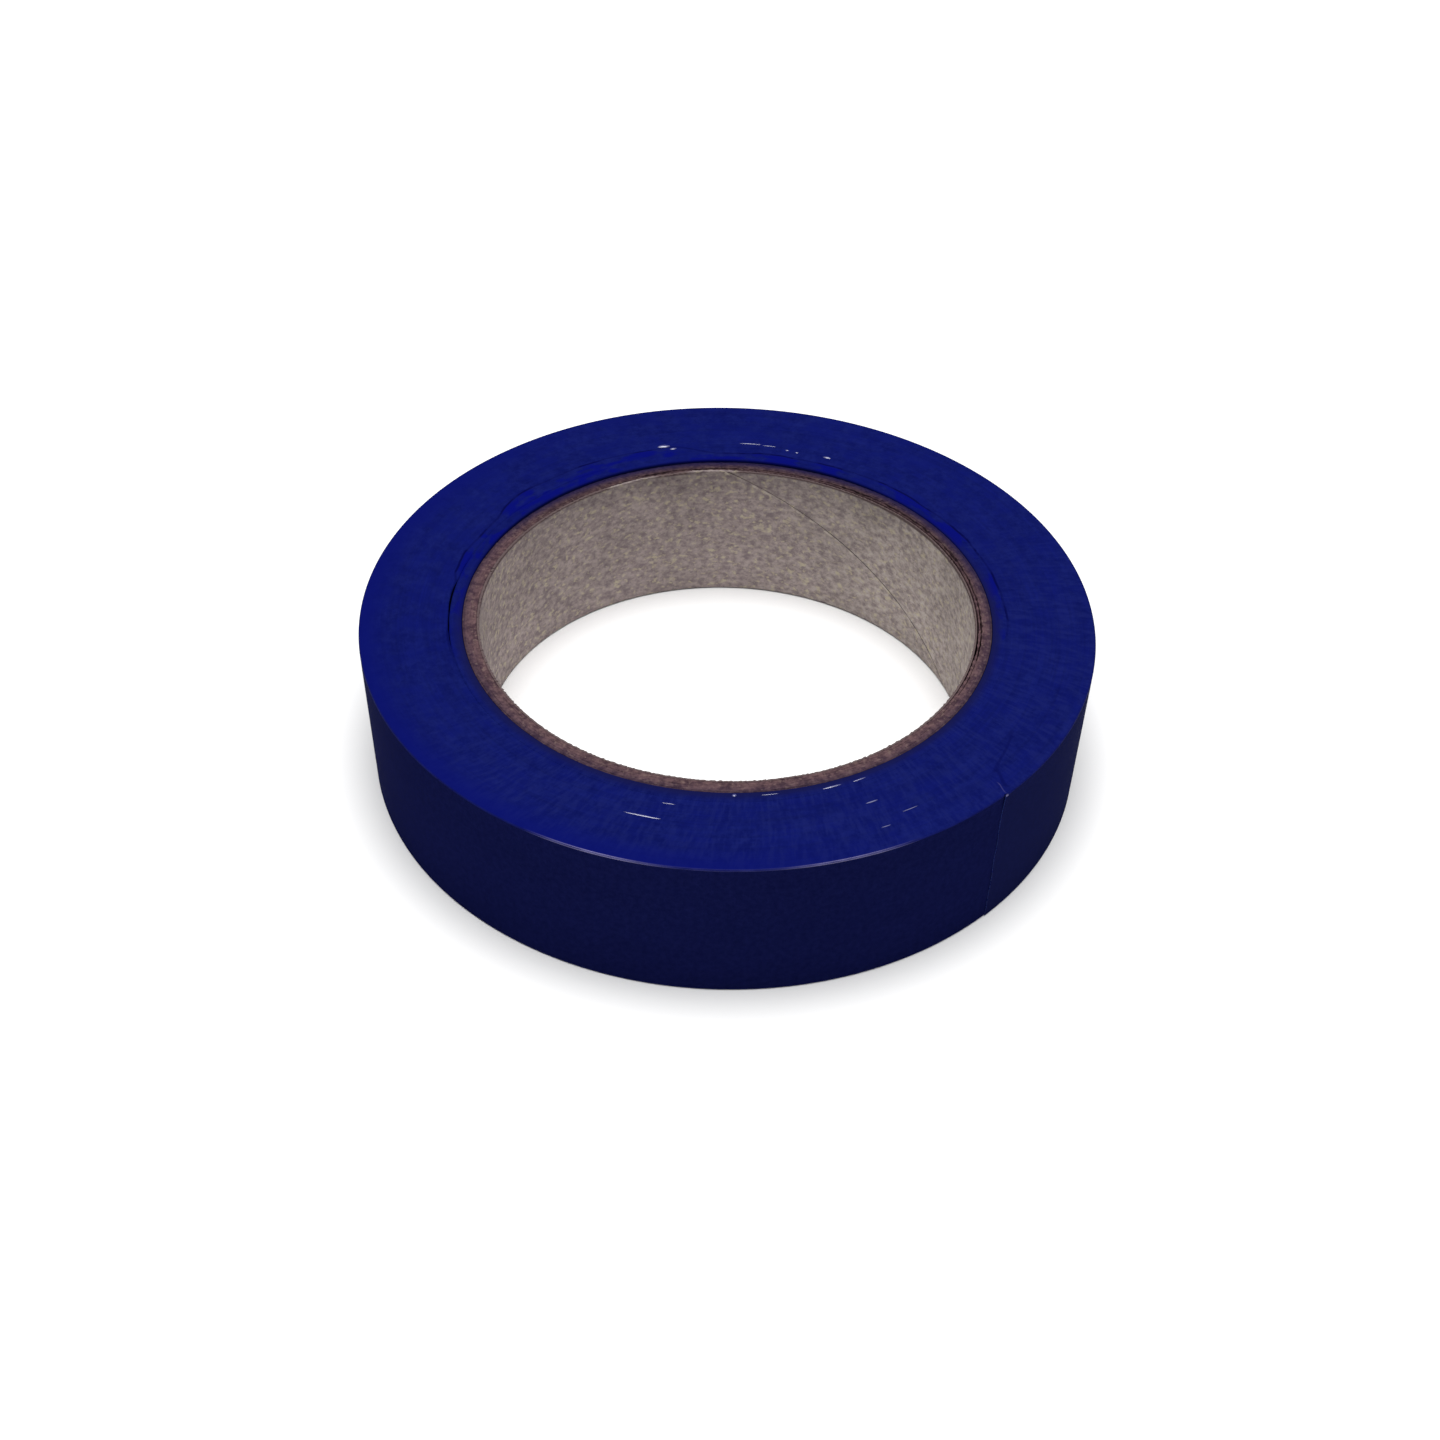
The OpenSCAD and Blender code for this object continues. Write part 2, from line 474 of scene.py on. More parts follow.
def shoulder_material():
    """The worn edge of the last turn, shiny where it has been handled, and at the free end."""
    s = Shader("tape_shoulder", roughness=0.32, specular=0.9, ior=1.9)
    s.surface.inputs["Specular Tint"].default_value = SHEEN
    place = s.tape_place()
    along, height = s.part(place, 0), s.part(place, 1)
    per_degree = TAU * ROLL_R / MM / 360
    wear = s.noise(s.vector("MULTIPLY", place, (0.35, 2.0, 0.0)), 1.0, detail=3.0)

    def stretch(start, full_from, full_to, end):
        """1 between two places that many degrees behind the cut edge, fading to 0 past them."""
        rising = s.ramp(along, start * per_degree, full_from * per_degree)
        return s.math("MULTIPLY", s.ramp(along, end * per_degree, full_to * per_degree), rising)

    dull = s.math("MULTIPLY", stretch(299, 309, 322, 332), 0.9)
    front = s.math("MULTIPLY", stretch(285, 296, 334, 345), s.rest(dull))
    nick = s.ramp(along, 0.6, 0.2)
    upper = s.math("GREATER_THAN", height, WIDTH / MM / 2)
    shine = s.product(s.math("MAXIMUM", front, nick), upper, s.ramp(wear, 0.3, 0.6, 0.55, 1.0))
    colour = s.mix(s.ramp(wear, 0.35, 0.65), rgb(0.004, 0.006, 0.07), rgb(0.006, 0.009, 0.09))
    shine = s.math("ADD", s.math("MULTIPLY", shine, 0.95), 0.002)
    s.put(shine, s.surface.inputs["Specular IOR Level"])
    return s.finish(colour, wear, 0.01 * MM, s.ramp(wear, 0.3, 0.7, 0.26, 0.45))


def adhesive_material():
    """The tacky inner face of the tape."""
    s = Shader("tape_adhesive", roughness=0.3, specular=0.45)
    place = s.tape_place()
    flow = s.noise(s.vector("MULTIPLY", place, (0.3, 1.0, 0.0)), 0.8, detail=3.0)
    grain = s.noise(place, 2.5, detail=3.0)
    colour = s.mix(s.ramp(flow, 0.35, 0.65), rgb(0.012, 0.022, 0.13), rgb(0.022, 0.036, 0.17))
    relief = s.math("ADD", s.math("MULTIPLY", flow, 0.5), s.math("MULTIPLY", grain, 0.5))
    return s.finish(colour, relief, 0.02 * MM, s.ramp(grain, 0.3, 0.7, 0.22, 0.42))


def bead_material():
    """Smooth beads of adhesive that stand along a few turns."""
    s = Shader("adhesive_beads", roughness=0.3, specular=0.5, ior=2.2)
    place = s.place()
    radius, direction = s.polar(place)
    grain = s.noise(place, 1.5, detail=2.0)
    colour = s.mix(grain, rgb(0.01, 0.014, 0.12), rgb(0.03, 0.035, 0.16))
    # the beads furthest out on the right are smeared and duller
    smeared = s.facing(direction, -61, 0.9, 0.97)
    smeared = s.math("MULTIPLY", smeared, s.ramp(radius, 44.0, 46.5, 0.0, 0.38))
    rough = s.math("ADD", s.ramp(grain, 0.3, 0.7, 0.24, 0.34), smeared)
    return s.finish(colour, grain, 0.005 * MM, rough)


def liner_material():
    """Mottled grey recycled paper with cream and dark flecks."""
    s = Shader("liner_paper", roughness=0.85, specular=0.1)
    place = s.place()
    _, direction = s.polar(place)
    height = s.part(place, 2)
    # its fibres lie more round the core than along it
    paper = s.vector("MULTIPLY", place, (0.75, 0.75, 1.0))
    pulp = s.noise(paper, 1.05, detail=4.0, roughness=0.66)
    flecks = s.noise(s.vector("ADD", paper, (31.0, 7.0, 3.0)), 1.4, detail=3.0)
    specks = s.noise(s.vector("ADD", place, (-17.0, 5.0, 11.0)), 1.8, detail=3.0)
    clouds = s.noise(place, 0.12, detail=2.0)
    # the wall is yellower on the right
    right = s.facing(direction, 15, 0.25, 1.0)
    low = s.mix(right, rgb(0.180, 0.142, 0.153), rgb(0.205, 0.168, 0.168))
    high = s.mix(right, rgb(0.376, 0.317, 0.298), rgb(0.450, 0.396, 0.362))
    colour = s.mix(s.ramp(pulp, 0.27, 0.73), low, high)
    colour = s.mix(s.ramp(flecks, 0.52, 0.72, 0.0, 0.8), colour, rgb(0.47, 0.415, 0.295))
    colour = s.mix(s.ramp(specks, 0.60, 0.76, 0.0, 0.65), colour, rgb(0.140, 0.110, 0.126))
    colour = s.brighten(colour, s.ramp(clouds, 0.35, 0.65, 0.94, 1.06))
    # it is a little paler low down, and painted shade darkens it towards its upper edge, most of
    # all at the back
    colour = s.brighten(colour, s.ramp(height, 0.0, 18.0, 1.04, 0.99))
    back = s.facing(direction, 92, 0.3, 1.0)
    upper = s.ramp(height, 17.0, 24.0)
    upper_shade = s.math("MULTIPLY", upper, s.math("ADD", s.math("MULTIPLY", back, 0.19), 0.02))
    upper_shade = s.math("ADD", upper_shade, s.math("MULTIPLY", back, 0.05))
    colour = s.brighten(colour, s.rest(upper_shade))
    # its cut upper edge has taken up the brown of the board, but for two torn slivers
    slivers = [s.facing(direction, azimuth, 0.992, 0.997) for azimuth in (94.5, 115)]
    torn = s.math("MULTIPLY", s.math("MAXIMUM", *slivers), 0.75)
    browned = s.product(s.ramp(height, 24.05, 24.4), s.rest(torn), 0.92)
    colour = s.mix(browned, colour, rgb(0.075, 0.050, 0.052))
    # the butted seam is a dark line, partly painted shade in its shallow groove, with pale frayed
    # paper beside it
    past_seam = s.math("SUBTRACT", s.part(s.tape_place(), 0), SEAM_U)
    fray = s.ramp(s.noise(place, 0.7, detail=3.0), 0.5, 0.62, 0.0, 0.7)
    beside_seam = s.math("ABSOLUTE", s.math("SUBTRACT", past_seam, 1.0))
    frayed = s.math("MULTIPLY", s.ramp(beside_seam, 0.6, 0.2), fray)
    colour = s.mix(frayed, colour, rgb(0.47, 0.42, 0.35))
    dark = s.ramp(s.noise(place, 0.35, detail=2.0), 0.35, 0.55, 0.55, 1.0)
    dark = s.math("MULTIPLY", dark, s.ramp(height, 12.0, 17.0, 1.0, 0.3))
    on_seam = s.math("ABSOLUTE", past_seam)
    seam = s.math("MULTIPLY", s.ramp(on_seam, 0.55, 0.2), dark)
    colour = s.mix(seam, colour, rgb(0.05, 0.038, 0.04))
    return s.finish(colour, pulp, 0.05 * MM, s.ramp(pulp, 0.3, 0.7, 0.78, 0.92))


def board_material():
    """The cut edge of brown paperboard: fibres that run round the core."""
    s = Shader("core_board", roughness=0.9, specular=0.05)
    place = s.place()
    radius, direction = s.polar(place)
    fibres = s.ring_noise(radius, direction, 0.7, 2.2, detail=3.0, roughness=0.6)
    clumps = s.noise(place, 0.9, detail=5.0, roughness=0.68)
    specks = s.noise(s.vector("ADD", place, (9.0, 2.0, 4.0)), 1.6, detail=2.0)
    colour = s.mix(s.ramp(clumps, 0.34, 0.66), rgb(0.041, 0.0225, 0.030), rgb(0.102, 0.0595, 0.063))
    colour = s.brighten(colour, s.ramp(fibres, 0.3, 0.7, 0.87, 1.13))
    colour = s.mix(s.ramp(specks, 0.55, 0.7, 0.0, 0.6), colour, rgb(0.145, 0.098, 0.088))
    # painted shade: darker beside the tape, and on the crushed side and the back, with a dark blue
    # band of painted shade on its outer part at the back
    shade_beside_tape = s.ramp(radius, CORE_R / MM - 0.9, CORE_R / MM, 1.0, 0.62)
    colour = s.brighten(colour, shade_beside_tape)
    back = s.facing(direction, 80, 0.0, 0.8)
    colour = s.brighten(colour, s.ramp(back, 0.0, 1.0, 1.0, 0.62))
    outwards = s.ramp(radius, CORE_R / MM - 1.8, CORE_R / MM)
    blue_shade_band = s.product(outwards, s.ramp(back, 0.0, 1.0, 0.3, 1.0), 0.8)
    colour = s.mix(blue_shade_band, colour, rgb(0.0110, 0.0085, 0.046))
    relief = s.math("ADD", s.math("MULTIPLY", fibres, 0.5), s.math("MULTIPLY", clumps, 0.5))
    return s.finish(colour, relief, 0.08 * MM, s.ramp(clumps, 0.3, 0.7, 0.82, 0.95))


CUT_EDGES = cut_edges_material()
BACKING = backing_material()
SHOULDER_EDGE = shoulder_material()
ADHESIVE = adhesive_material()
BEADS = bead_material()
LINER = liner_material()
BOARD = board_material()

# ---------------------------------------------------------------- core


def ply_ring(name, node, inner, outer, seed, crush_depth, part_in, part_out):
    """One ply of the core's body. crush_depth lowers its upper edge where the core is crushed,
    and part_in and part_out thin its two walls near that edge."""
    columns, edge_rows = 960, 6
    azimuth = np.arange(columns) * 360 / columns
    rng = np.random.default_rng(seed)
    uneven = 1 + 0.4 * waves(azimuth, 8, 50, seed + 3) + 0.35 * waves(azimuth, 60, 220, seed + 4)
    uneven = np.clip(uneven, 0.05, 2.2)
    crush = (crushed(azimuth) * uneven)[:, None]
    top = WIDTH - recess(azimuth)[:, None] + 0.018 * MM * waves(azimuth, 3, 40, seed)[:, None]
    top = top + 0.014 * MM * waves(azimuth, 100, 300, seed + 1)[:, None] - crush_depth * crush
    bottom = 0.2 * MM + 0.012 * MM * waves(azimuth, 100, 300, seed + 2)[:, None]
    corner = 0.02 * MM
    rising = np.array([0.0, 0.4, 0.94, 0.975, 1.0])
    depth_share = np.array([0.0, 0.0, 0.0, 0.7, 1.0])
    walls_up = bottom + corner + (top - bottom - 2 * corner) * rising
    out_wall = outer - part_out * crush * depth_share
    in_wall = inner + part_in * crush * depth_share
    share = np.linspace(0, 1, edge_rows)
    upper = (out_wall[:, -1:] - corner) + (in_wall[:, -1:] - out_wall[:, -1:] + 2 * corner) * share
    lower = (inner + corner) + (outer - inner - 2 * corner) * share
    rough = rng.normal(size=(columns, edge_rows)) * 0.01 * MM
    grain = rng.normal(size=(columns, edge_rows)) * 0.01 * MM
    radius = np.concatenate(
        [out_wall, upper, in_wall[:, ::-1], np.broadcast_to(lower, upper.shape)], axis=1
    )
    height = np.concatenate(
        [walls_up, top + rough, walls_up[:, ::-1], bottom + np.abs(grain)], axis=1
    )
    slots = [0] * radius.shape[1]
    piece = closed_ring(name, azimuth[:, None], radius, height, slots, [BOARD])
    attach(piece, "roll")
    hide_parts(node)


def liner_ring():
    """The grey liner, with its butted seam winding up the wall and a ragged cut edge."""
    outer = outer_radius("core_liner_ply")
    wall_rows, edge_rows = 70, 4
    beside_seam = np.array([-0.2, -0.1, 0.0, 0.09, 0.2])
    groove = np.array([0.0, 0.07, 0.13, 0.05, -0.03]) * MM
    step = 0.25
    around = TAU * BORE_R / MM
    plain = np.arange(2 * step, around - step, step)
    along = np.concatenate([beside_seam, plain])
    azimuth = along / around * 360
    columns = azimuth.size
    rng = np.random.default_rng(5)

    at_top = azimuth + SEAM_AZIMUTH + SEAM_TURN * WIDTH / MM
    top = WIDTH - recess(at_top)[:, None] + 0.02 * MM * waves(azimuth, 3, 30, 11)[:, None]
    top = top + 0.03 * MM * waves(azimuth, 150, 420, 12)[:, None]
    bottom = 0.2 * MM + 0.015 * MM * waves(azimuth, 100, 300, 13)[:, None]
    corner = 0.04 * MM
    rising = np.linspace(0, 1, wall_rows)
    wall_height = bottom + corner + (top - bottom - 2 * corner) * rising
    sway = 0.03 * MM * waves(azimuth, 2, 9, 14)[:, None]
    pulp = rng.normal(size=(columns, wall_rows)) * 0.006 * MM
    in_wall = BORE_R + sway * np.sin(np.pi * rising) + pulp
    in_wall[: beside_seam.size] += groove[:, None]
    ragged = 0.04 * MM * waves(azimuth, 120, 380, 15)[:, None]
    torn_in = 0.18 * MM * between(at_top, 87, 92, 108, 113)[:, None]
    in_wall = in_wall + (ragged - torn_in) * smoothstep(rising, 0.985, 1.0)
    few = np.append(np.arange(0, wall_rows - 6, 6), wall_rows - 1)
    out_wall = np.full((columns, few.size), outer)
    out_wall[:, -1:] -= 0.1 * MM * crushed(at_top)[:, None]
    share = np.linspace(0, 1, edge_rows)
    across = in_wall[:, -1:] - out_wall[:, -1:] + 2 * corner
    upper = (out_wall[:, -1:] - corner) + across * share
    lower = (BORE_R + corner) + (outer - BORE_R - 2 * corner) * share
    rough = rng.normal(size=(columns, edge_rows)) * 0.012 * MM
    crush = crushed_right(at_top)[:, None]
    raised = 0.12 * MM * between(at_top, 87, 95, 104, 113)[:, None]
    upper_height = top + rough - 0.1 * MM * crush + raised
    radius = np.concatenate(
        [out_wall, upper, in_wall[:, ::-1], np.broadcast_to(lower, upper.shape)], axis=1
    )
    height = np.concatenate(
        [wall_height[:, few], upper_height, wall_height[:, ::-1], bottom + 0 * rough], axis=1
    )
    # the columns follow the seam as it winds up the wall
    winding = azimuth[:, None] + SEAM_AZIMUTH + SEAM_TURN * height / MM
    slots = [1] * few.size + [0] * edge_rows + [0] * wall_rows + [1] * edge_rows
    piece = closed_ring("core_liner", winding, radius, height, slots, [LINER, BOARD])
    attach(piece, "roll")
    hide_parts("core_liner_ply")


def core():
    liner_ring()
    half_glue = GLUE / 2
    inner = outer_radius("core_liner_ply") + GLUE
    for number, node in enumerate(BODY_PLIES, 1):
        outer = outer_radius(node) + half_glue
        ply_ring(
            f"core_ply_{number}",
            node,
            inner,
            outer,
            seed=20 + 5 * number,
            crush_depth=0.12 * MM if number == 1 else 0.0,
            part_in={1: 0.1 * MM, 2: 0.13 * MM}.get(number, 0.0),
            part_out=0.08 * MM if number == 1 else 0.0,
        )
        inner = outer
    ply_ring("core_outer_paper", "core_outer_ply", inner, CORE_R, 60, 0.0, 0.0, 0.0)


# ---------------------------------------------------------------- stuck turns


def winding_ring(name, inner, outer, upper_rows, lower_rows, upper_height, lower_height, columns):
    """A wound band. inner and outer are radii by column; the heights are functions of the column
    azimuths and the radii over a flat face."""
    azimuth = END_AZIMUTH + np.arange(columns) * 360 / columns
    wall = np.array([0.0, 0.5, 1.0])

    def face(rows, height_of):
        share = np.linspace(0, 1, rows)
        radius = outer[:, None] + (inner - outer)[:, None] * share
        return radius, height_of(azimuth[:, None], radius)

    top_r, top_z = face(upper_rows, upper_height)
    low_r, low_z = face(lower_rows, lower_height)
    edge = 0.12 * MM
    out_z = low_z[:, :1] + edge + (top_z[:, :1] - low_z[:, :1] - 2 * edge) * wall
    in_z = low_z[:, -1:] + edge + (top_z[:, -1:] - low_z[:, -1:] - 2 * edge) * wall
    radius = np.concatenate(
        [
            np.repeat(outer[:, None], wall.size, 1),
            top_r,
            np.repeat(inner[:, None], wall.size, 1),
            low_r[:, ::-1],
        ],
        axis=1,
    )
    height = np.concatenate([out_z, top_z, in_z[:, ::-1], low_z[:, ::-1]], axis=1)
    radius = leaning(radius, height)
    slots = [1] * wall.size + [0] * upper_rows + [1] * wall.size + [0] * lower_rows
    slots[wall.size - 1] = 0
    slots[wall.size + upper_rows - 1] = 0
    return closed_ring(name, azimuth[:, None], radius, height, slots, [CUT_EDGES, BACKING])


def turn_relief(rows, inner, outer, seed, size):
    """Height of each turn's cut edge over a face, as a function of azimuth and radius."""
    rng = np.random.default_rng(seed)
    own = rng.normal(size=rows) * 0.45
    drift = np.convolve(rng.normal(size=rows + 8), np.ones(9) / 3, mode="valid")
    steps = (own + drift) * size

    def height(azimuth, radius):
        lean = (radius - inner) / MM * 0.7
        knife = waves(azimuth[:, 0], 60, 150, seed + 1)[:, None] * 0.25 * size
        sway = waves(azimuth[:, 0], 1, 6, seed + 2)[:, None] * np.cos(lean) * 0.5 * size
        share = (outer - radius) / (outer - inner)
        return steps + knife + sway * np.sin(np.pi * np.clip(share, 0, 1))

    return height


def worn_shoulder(radius, back):
    """How far the worn edge drops at that radius."""
    inward = turn_radius(back) - np.asarray(radius)
    reach = np.clip(SHOULDER - inward, 0, SHOULDER)
    return SHOULDER - np.sqrt(SHOULDER**2 - reach**2)


def inner_band():
    """The tight first turns, which stand apart from the main turns along part of their line."""
    columns, rows = 720, 42
    inner = np.full(columns, BAND_IN_R) + 0.02 * MM
    outer = np.full(columns, BAND_OUT_R + 0.025 * MM)
    top_relief = turn_relief(rows, BAND_IN_R, BAND_OUT_R, 70, 0.014 * MM)
    low_relief = turn_relief(rows, BAND_IN_R, BAND_OUT_R, 73, 0.012 * MM)

    def top(az, radius):
        joint = np.exp(-((radius - BAND_IN_R) / (0.07 * MM)) ** 2)
        lip = np.exp(-((radius - outer[:, None]) / (0.12 * MM)) ** 2)
        lip = lip * between(az, 100, 130, 200, 230)
        level = WIDTH - FACE_IN + top_relief(az, radius)
        return level - 0.2 * MM * joint - 0.1 * MM * lip

    def bottom(az, radius):
        joint = np.exp(-((radius - BAND_IN_R) / (0.07 * MM)) ** 2)
        return FACE_IN + low_relief(az, radius) + 0.15 * MM * joint

    piece = winding_ring("tape_first_turns", inner, outer, rows, rows, top, bottom, columns)
    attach(piece, "roll")
    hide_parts("tape_inner_turns")


def bead(radius, azimuth, length, width, rise):
    """A flat bead of adhesive that stands on the flat side along a turn: points and faces."""
    stations, sides = 16, 12
    share = np.linspace(0, 1, stations)
    taper = np.clip(1 - (2 * share - 1) ** 2, 0, 1) ** 0.75 * 0.97 + 0.03
    turn = np.arange(sides) * TAU / sides
    arc = np.degrees(length / radius) * (share - 0.5)
    wander = 0.06 * width * np.sin(share * 5 + azimuth)
    r = radius + wander[:, None] + taper[:, None] * np.cos(turn) * width / 2
    z = WIDTH - FACE_IN + taper[:, None] * np.sin(turn) * rise
    points = ring_points((azimuth + arc)[:, None], leaning(r, z), z).reshape(-1, 3)
    faces = []
    for first in range(0, (stations - 1) * sides, sides):
        for j in range(sides):
            k = (j + 1) % sides
            faces.append([first + sides + j, first + sides + k, first + k, first + j])
    near_end = list(range(sides))
    far_end = list(range(stations * sides - 1, (stations - 1) * sides - 1, -1))
    return points, faces + [near_end, far_end]


# radius, azimuth, length and width of each bead, in millimetres and degrees
BEAD_PLACES = [
    (47.1, -103.8, 5.6, 0.34),
    (43.9, -100.0, 2.0, 0.16),
    (41.3, -87.8, 0.7, 0.62),
    (41.4, -80.8, 2.6, 0.14),
    (41.9, -68.4, 3.0, 0.34),
    (42.0, -62.6, 2.2, 0.26),
    (46.7, -63.4, 1.9, 0.24),
    (51.8, -64.0, 1.5, 0.14),
    (50.3, -58.6, 2.6, 0.14),
    (45.5, 104.4, 2.2, 0.80),
    (44.6, 102.6, 1.2, 0.50),
    (45.6, 86.0, 3.8, 0.20),
    (45.4, 82.0, 2.4, 0.16),
    (44.8, 78.0, 0.7, 0.34),
    (44.6, 75.8, 0.6, 0.30),
    (44.9, 69.2, 1.4, 0.52),
]


def add_islands(piece, islands, material):
    """Joins closed meshes, each a pair of points and faces, to a piece as islands of their own."""
    extra = bpy.data.meshes.new("islands")
    points, faces = [], []
    for island_points, island_faces in islands:
        first = len(points)
        points += island_points.tolist()
        faces += [[first + k for k in face] for face in island_faces]
    extra.from_pydata(points, [], faces)
    extra.uv_layers.new(name="tape")
    extra.polygons.foreach_set("use_smooth", np.ones(len(faces), bool))
    for slot in piece.data.materials:
        extra.materials.append(slot)
    extra.materials.append(material)
    extra.polygons.foreach_set("material_index", np.full(len(faces), len(extra.materials) - 1))
    other = bpy.data.objects.new("islands", extra)
    bpy.context.scene.collection.objects.link(other)
    piece.data.materials.append(material)
    with bpy.context.temp_override(
        active_object=piece, object=piece, selected_editable_objects=[piece, other]
    ):
        bpy.ops.object.join()


def main_turns():
    """The bulk of the winding, out to the last turn, with the gap beside the first turns."""
    columns, upper_rows, lower_rows = 640, 110, 48
    back = np.arange(columns) * 360 / columns
    azimuth = END_AZIMUTH + back
    inner = MAIN_IN_R + gap_width(azimuth)
    outer = turn_radius(back) - TAPE_T
    outer[0] = turn_radius(360) - TAPE_T
    outer = outer - 0.002 * MM
    top_relief = turn_relief(upper_rows, MAIN_IN_R, ROLL_R, 80, 0.014 * MM)
    low_relief = turn_relief(lower_rows, MAIN_IN_R, ROLL_R, 83, 0.014 * MM)

    def off_rim(radius):
        return smoothstep(outer[:, None] - radius, 0, 0.4 * MM)

    def top(az, radius):
        lip = np.exp(-((radius - inner[:, None]) / (0.14 * MM)) ** 2)
        lip = lip * between(az, 100, 130, 200, 230)
        slid = np.exp(-((radius - winding_line(az)) / (0.12 * MM)) ** 2)
        slid = slid * np.maximum(between(az, -25, -8, 30, 48), between(az, 80, 100, 150, 165))
        level = WIDTH - FACE_IN + top_relief(az, radius) * off_rim(radius)
        return level - 0.12 * MM * lip - 0.07 * MM * slid - worn_shoulder(radius, back[:, None])

    def bottom(az, radius):
        level = FACE_IN + low_relief(az, radius) * off_rim(radius)
        return level + worn_shoulder(radius, back[:, None])

    piece = winding_ring(
        "tape_wound_turns", inner, outer, upper_rows, lower_rows, top, bottom, columns
    )
    beads = [
        bead(r * MM, az, length * MM, width * MM, 0.27 * width * MM)
        for r, az, length, width in BEAD_PLACES
    ]
    add_islands(piece, beads, BEADS)
    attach(piece, "roll")
    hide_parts("tape_main_turns")


# ---------------------------------------------------------------- last turn and free end


def strip(name, back_from, back_to, cut_edge=False):
    """A stretch of the last turn, one tape thick, between two places behind the cut edge."""
    step = 0.5
    columns = int(round((back_to - back_from) / step)) + 1
    back = np.linspace(back_from, back_to, columns)
    wall_rows, round_rows = 26, 4
    wall = np.linspace(SHOULDER, WIDTH - SHOULDER, wall_rows)
    full = math.acos(1 - TAPE_T / SHOULDER)
    turn = np.linspace(0, full, round_rows + 1)[1:]
    inward = np.concatenate(
        [
            np.zeros(wall_rows),
            SHOULDER * (1 - np.cos(turn)),
            np.full(wall_rows, TAPE_T),
            SHOULDER * (1 - np.cos(turn[::-1])),
        ]
    )
    height = np.concatenate(
        [
            wall,
            WIDTH - SHOULDER * (1 - np.sin(turn)),
            wall[::-1],
            SHOULDER * (1 - np.sin(turn[::-1])),
        ]
    )
    rows = height.size
    places = np.repeat(back[:, None], rows, 1)
    radius = leaning(turn_radius(back)[:, None] - inward, height)
    if cut_edge:
        # the cut wanders, and its corners have sprung off the roll a little
        wander = 0.05 * MM * waves(height / MM * 12, 1, 5, 91)
        wander = wander + 0.02 * MM * waves(height / MM * 12, 20, 60, 92)
        near = np.clip(1 - back / 2.5, 0, 1)[:, None]
        places = places + np.degrees(wander / ROLL_R) * near
        sprung = smoothstep(height, WIDTH - 5 * MM, WIDTH) + 0.2 * smoothstep(-height, -4 * MM, 0)
        radius = radius + 0.12 * MM * sprung * near**2
    points = ring_points(END_AZIMUTH + places, radius, height)
    u = places[:, 0] / 360 * TAU * ROLL_R / MM
    v = np.append(height, height[0]) / MM
    slots = [0] * wall_rows + [1] * round_rows + [2] * wall_rows + [1] * round_rows
    slots[wall_rows - 1] = 1
    slots[wall_rows + round_rows - 1] = 2
    slots[rows - 1] = 1
    slots[2 * wall_rows + round_rows - 1] = 1
    faces, uv, face_slots = section_grid(points, u, v, slots, False)

    pairs = [(k, rows - round_rows - 1 - k) for k in range(wall_rows)]
    over_top = list(range(wall_rows - 1, wall_rows + round_rows + 1))
    under = list(range(rows - round_rows - 1, rows)) + [0]
    ends = [[a, b, d, c] for (a, b), (c, d) in zip(pairs, pairs[1:])] + [over_top, under]
    start = (columns - 1) * rows
    caps = [face[::-1] for face in ends[:-2]] + [over_top, under]
    far_caps = [[start + k for k in face[::-1]] for face in caps]
    for column, column_caps in ((0, caps), (columns - 1, far_caps)):
        for cap in column_caps:
            faces.append(cap)
            uv = np.concatenate([uv, [(u[column], height[k % rows] / MM) for k in cap]])
    face_slots = np.concatenate([face_slots, np.full(len(caps + far_caps), 2)])
    return mesh_piece(name, points, faces, uv, face_slots, [BACKING, SHOULDER_EDGE, ADHESIVE])


def strip_middle(back):
    """The point on the strip's outer face, halfway up, that far behind the cut edge."""
    return ring_points(END_AZIMUTH + back, turn_radius(back), WIDTH / 2).tolist()


def last_turn():
    piece = strip("tape_outer_turn", END_ARC + LENGTH_ANGLE / 2, 360)
    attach(piece, "roll")
    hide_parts("tape_last_turn")


def free_end():
    """The free end as pieces, one over each hinge, and a tip past the last of them, which moves
    with the last hinge's body.
    """
    bodies = ["roll"] + [joints[name]["child"] for name in HINGES]
    for number in range(1, END_PIECES + 1):
        hinge = END_ARC - (number - 1) * LENGTH_ANGLE
        start, end = hinge + LENGTH_ANGLE / 2, hinge - LENGTH_ANGLE / 2
        piece = strip(f"tape_free_end_{number}", end, start)
        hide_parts(bodies[number])
        strip_middle(start)
        strip_middle(end)
        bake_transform(piece)
    tip = strip("tape_free_end_tip", 0, LENGTH_ANGLE / 2, cut_edge=True)
    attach(tip, bodies[-1])
    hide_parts(bodies[-1])


# ---------------------------------------------------------------- floor, light and camera


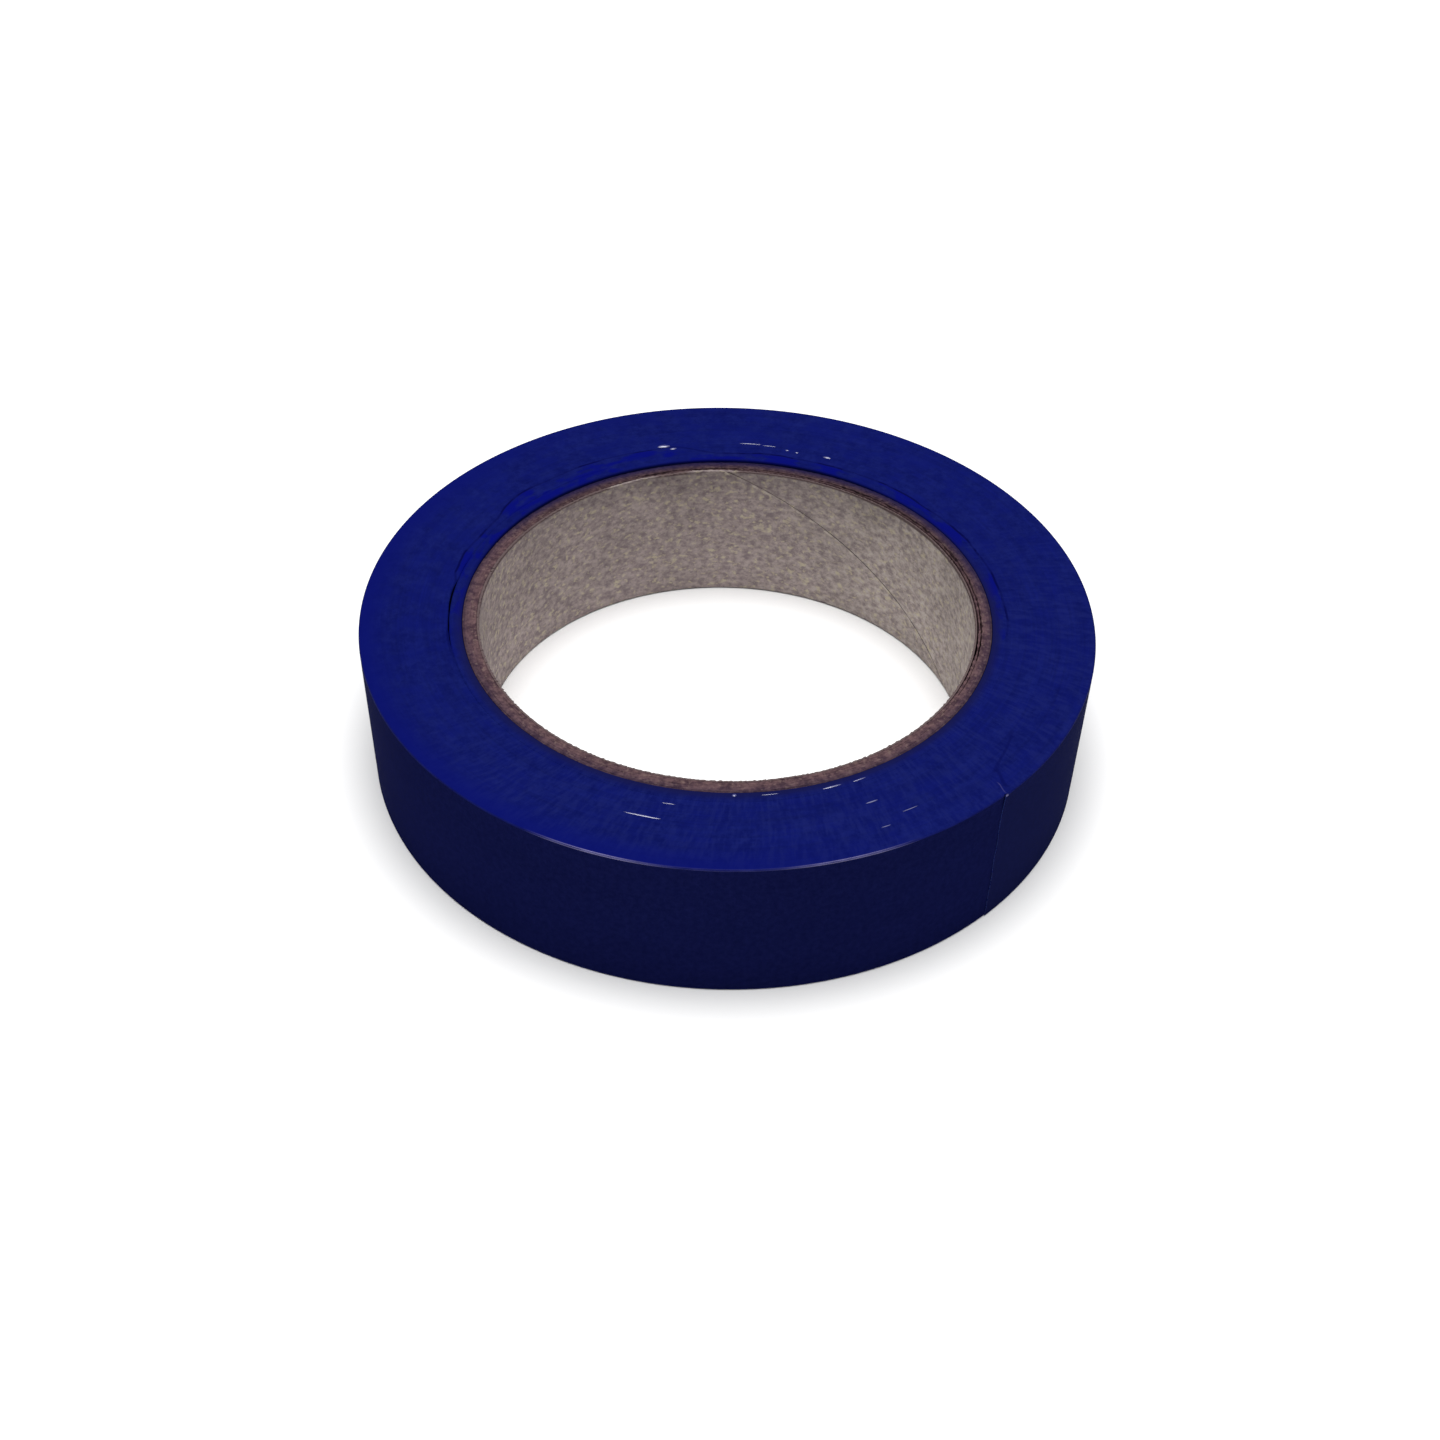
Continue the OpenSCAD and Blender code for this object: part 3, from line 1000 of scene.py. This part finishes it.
def floor():
    s = Shader("pale_floor", roughness=0.9, specular=0.1)
    cloud = s.noise(s.scaled(s.place(), 0.01), 1.0)
    material = s.finish(s.mix(cloud, rgb(0.84, 0.84, 0.84), rgb(0.87, 0.87, 0.87)))
    half = 3.0
    level = -0.03 * MM
    corners = [(x * half, y * half, level) for x, y in ((-1, -1), (1, -1), (1, 1), (-1, 1))]
    mesh = bpy.data.meshes.new("floor")
    mesh.from_pydata(corners, [], [(0, 1, 2, 3)])
    mesh.materials.append(material)
    piece = bpy.data.objects.new("floor", mesh)
    bpy.context.scene.collection.objects.link(piece)


def area_light(name, place, target, size, power):
    data = bpy.data.lights.new(name, "AREA")
    data.shape = "DISK"
    data.size = size
    data.energy = power
    light = bpy.data.objects.new(name, data)
    light.location = place
    light.rotation_euler = (Vector(target) - Vector(place)).to_track_quat("-Z", "Y").to_euler()
    bpy.context.scene.collection.objects.link(light)


def lights():
    middle = (0.0, 0.0, WIDTH / 2)
    area_light("softbox_above", (0.0, 0.0, 1.8), middle, 1.5, 44.0)
    world = bpy.data.worlds.new("studio")
    world.use_nodes = True
    background = world.node_tree.nodes["Background"]
    background.inputs["Color"].default_value = rgb(1.0, 1.0, 1.0)
    background.inputs["Strength"].default_value = 0.42
    bpy.context.scene.world = world
    bpy.context.scene.view_settings.view_transform = "Standard"


CAMERA_ELEVATION = 40.04  # degrees above the floor
CAMERA_DISTANCE = 379.6 * MM
CAMERA_ROLL = 1.28  # degrees
CAMERA_LENS = 60.34  # millimetres, on Blender's 36 mm sensor
CAMERA_AIM = (-0.75 * MM, -10.9 * MM, WIDTH / 2)


def camera():
    """The camera looks along +Y and down, at a place a little in front of the roll's middle."""
    elevation = math.radians(CAMERA_ELEVATION)
    place = Vector((0, -math.cos(elevation), math.sin(elevation))) * CAMERA_DISTANCE
    place.z += WIDTH / 2
    data = bpy.data.cameras.new("camera")
    data.lens = CAMERA_LENS
    data.clip_start = 0.01
    eye = bpy.data.objects.new("camera", data)
    look = (Vector(CAMERA_AIM) - place).to_track_quat("-Z", "Y").to_matrix().to_4x4()
    roll = Matrix.Rotation(math.radians(CAMERA_ROLL), 4, "Z")
    eye.matrix_world = Matrix.Translation(place) @ look @ roll
    bpy.context.scene.collection.objects.link(eye)
    bpy.context.scene.camera = eye


camera()
lights()
floor()
core()
inner_band()
main_turns()
last_turn()
free_end()
